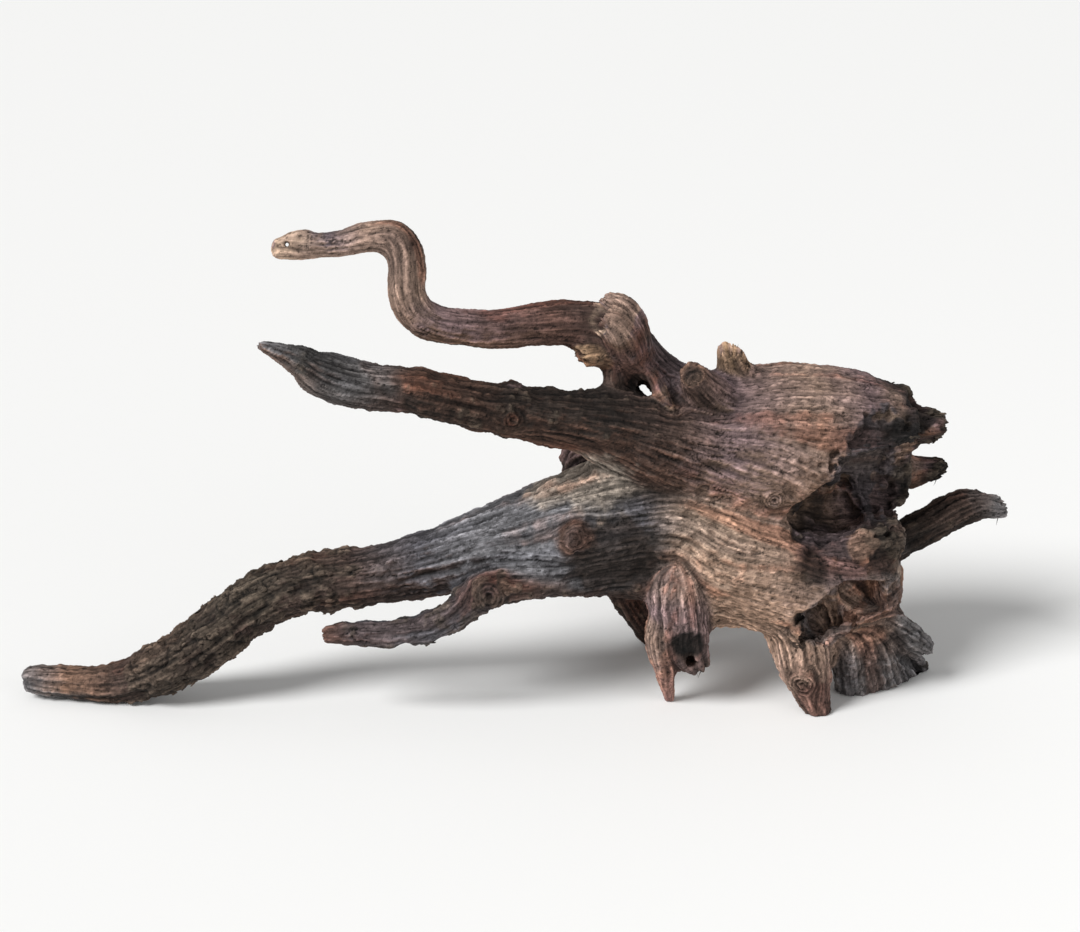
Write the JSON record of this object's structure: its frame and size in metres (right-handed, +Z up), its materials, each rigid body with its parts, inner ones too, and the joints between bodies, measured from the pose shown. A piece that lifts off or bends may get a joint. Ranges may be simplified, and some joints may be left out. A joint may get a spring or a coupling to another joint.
{
  "type": "dry root",
  "caption": "Gnarled dry tree root: a hollow-ended stump with long bent roots reaching to one side, standing by itself on its foot and root tips.",
  "frame": {"origin": "on the surface that the root stands on, under the middle of its outline", "axes": "+Z up; +X along the root, from the tip of the longest root towards the stump's hollow end; +Y to the back"},
  "size_m": [0.6579, 0.1583, 0.3292],
  "materials": {
    "weathered_wood": "dry weathered wood and bark, matt"
  },
  "bodies": {
    "root": {"dry_root": "weathered_wood"}
  },
  "joints": []
}
